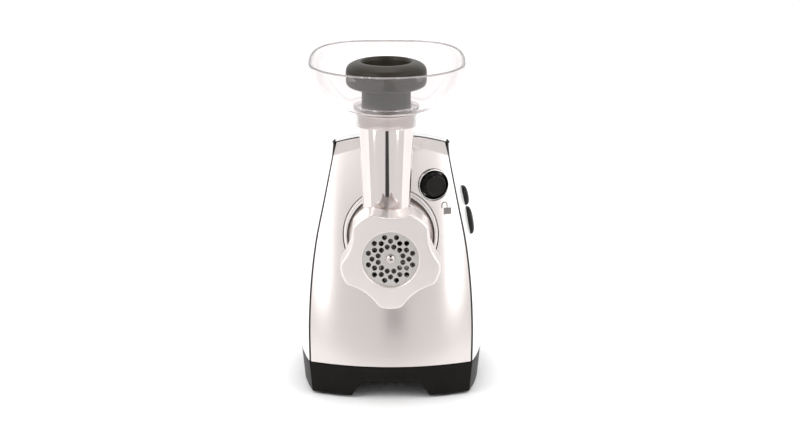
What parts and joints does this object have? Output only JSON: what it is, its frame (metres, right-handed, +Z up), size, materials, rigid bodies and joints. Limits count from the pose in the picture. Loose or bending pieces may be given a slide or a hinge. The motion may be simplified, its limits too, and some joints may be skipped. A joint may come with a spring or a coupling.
{
  "type": "electric meat grinder",
  "caption": "Free-standing electric meat grinder: lobed ring nut and cutting plate on a twist-in head, feed tube with clear tray and pusher, steel front, white shells, black base.",
  "frame": {"origin": "middle of the object's footprint box, on the surface it stands on", "axes": "+Z up, -Y out of the front along the barrel, +X to the right of someone facing the front"},
  "size_m": [0.1776, 0.3, 0.336],
  "materials": {
    "white_shell": "gloss white moulded ABS",
    "steel_panel": "satin stainless skin",
    "black_base": "fine-textured black moulding",
    "black_button": "smooth black",
    "grey_socket": "satin grey moulding",
    "button_trim": "satin dish",
    "pusher_plastic": "dark olive grey, satin",
    "clear_tray": "clear, polished",
    "rubber_foot": "matt",
    "head_aluminium": "polished casting",
    "cutter_steel": "ground steel",
    "gear_nylon": "natural nylon",
    "case_aluminium": "as cast",
    "bright_steel": "turned",
    "lamination": "varnished stampings",
    "copper": "enamelled copper",
    "carbon": "pressed carbon"
  },
  "bodies": {
    "root": {"base_tray": "black_base", "front_panel": "steel_panel", "left_shell": "white_shell", "right_shell": "white_shell", "top_cover": "white_shell", "rear_cover": "white_shell", "head_socket": "grey_socket", "button_dish": "button_trim", "cord_inlet": "rubber_foot", "idler_axle": "bright_steel", "gear_case_front": "case_aluminium", "gear_case_rear": "case_aluminium", "output_bush": "bright_steel", "motor_stator": "lamination", "field_coil_upper": "copper", "field_coil_lower": "copper", "brush_left": "carbon", "brush_right": "carbon", "motor_bracket_front": "case_aluminium", "motor_bracket_rear": "case_aluminium", "shaft_bearing_front": "bright_steel", "shaft_bearing_rear": "bright_steel", "motor_cradle": "black_base", "reverse_switch": "black_base", "power_switch": "black_base", "cradle_screw_1": "bright_steel", "cradle_screw_2": "bright_steel", "cradle_screw_3": "bright_steel", "cradle_screw_4": "bright_steel", "foot_front_left": "rubber_foot", "foot_front_right": "rubber_foot", "foot_rear_left": "rubber_foot", "foot_rear_right": "rubber_foot"},
    "head": {"head_casting": "head_aluminium"},
    "plate": {"cutting_plate": "cutter_steel"},
    "nut": {"ring_nut": "head_aluminium"},
    "worm_drive": {"output_gear": "gear_nylon", "feed_worm": "head_aluminium", "worm_coupling": "gear_nylon", "thrust_washer": "gear_nylon", "cutting_knife": "cutter_steel"},
    "idler": {"idler_gear": "gear_nylon"},
    "motor_rotor": {"motor_shaft": "bright_steel", "armature_core": "lamination", "armature_winding_front": "copper", "armature_winding_rear": "copper", "commutator": "copper", "cooling_fan": "black_base"},
    "tray": {"food_tray": "clear_tray"},
    "pusher": {"pusher": "pusher_plastic"},
    "release": {"release_button": "black_button", "lock_bolt": "bright_steel"},
    "reverse": {"reverse_button": "black_button"},
    "power": {"power_button": "black_button"}
  },
  "joints": [
    {"name": "worm_spin", "type": "hinge", "parent": "root", "child": "worm_drive", "pos_m": [0, 0, 0.16], "axis": [0, -1, 0], "continuous": true},
    {"name": "idler_spin", "type": "hinge", "parent": "root", "child": "idler", "pos_m": [0, 0, 0.1105], "axis": [0, -1, 0], "continuous": true},
    {"name": "motor_spin", "type": "hinge", "parent": "root", "child": "motor_rotor", "pos_m": [0, 0, 0.0715], "axis": [0, -1, 0], "continuous": true},
    {"name": "head_twist", "type": "hinge", "parent": "root", "child": "head", "pos_m": [0, 0, 0.16], "axis": [0, 1, 0], "range_deg": [0, 45]},
    {"name": "nut_turn", "type": "hinge", "parent": "plate", "child": "nut", "pos_m": [0, 0, 0.16], "axis": [0, -1, 0], "range_deg": [0, 1080]},
    {"name": "plate_slide", "type": "slide", "parent": "head", "child": "plate", "axis": [0, -1, 0], "range_m": [0, 0.012]},
    {"name": "tray_lift", "type": "slide", "parent": "head", "child": "tray", "axis": [0, 0, 1], "range_m": [0, 0.04]},
    {"name": "pusher_slide", "type": "slide", "parent": "tray", "child": "pusher", "axis": [0, 0, 1], "range_m": [0, 0.12]},
    {"name": "release_press", "type": "slide", "parent": "root", "child": "release", "axis": [-0.2756, 0.9613, 0], "range_m": [0, 0.004], "stiffness_N_per_m": 500, "springref_m": -0.004},
    {"name": "reverse_press", "type": "slide", "parent": "root", "child": "reverse", "axis": [-0.9696, 0.0584, -0.2378], "range_m": [0, 0.003], "stiffness_N_per_m": 500, "springref_m": -0.003},
    {"name": "power_press", "type": "slide", "parent": "root", "child": "power", "axis": [-0.98, 0.0585, -0.19], "range_m": [0, 0.003]}
  ],
  "couplings": [
    {"joint": "idler_spin", "follows": "worm_spin", "ratio": -3.5833},
    {"joint": "motor_spin", "follows": "worm_spin", "ratio": 11.944},
    {"joint": "plate_slide", "follows": "nut_turn", "m_per_rad": 0.00063662}
  ]
}
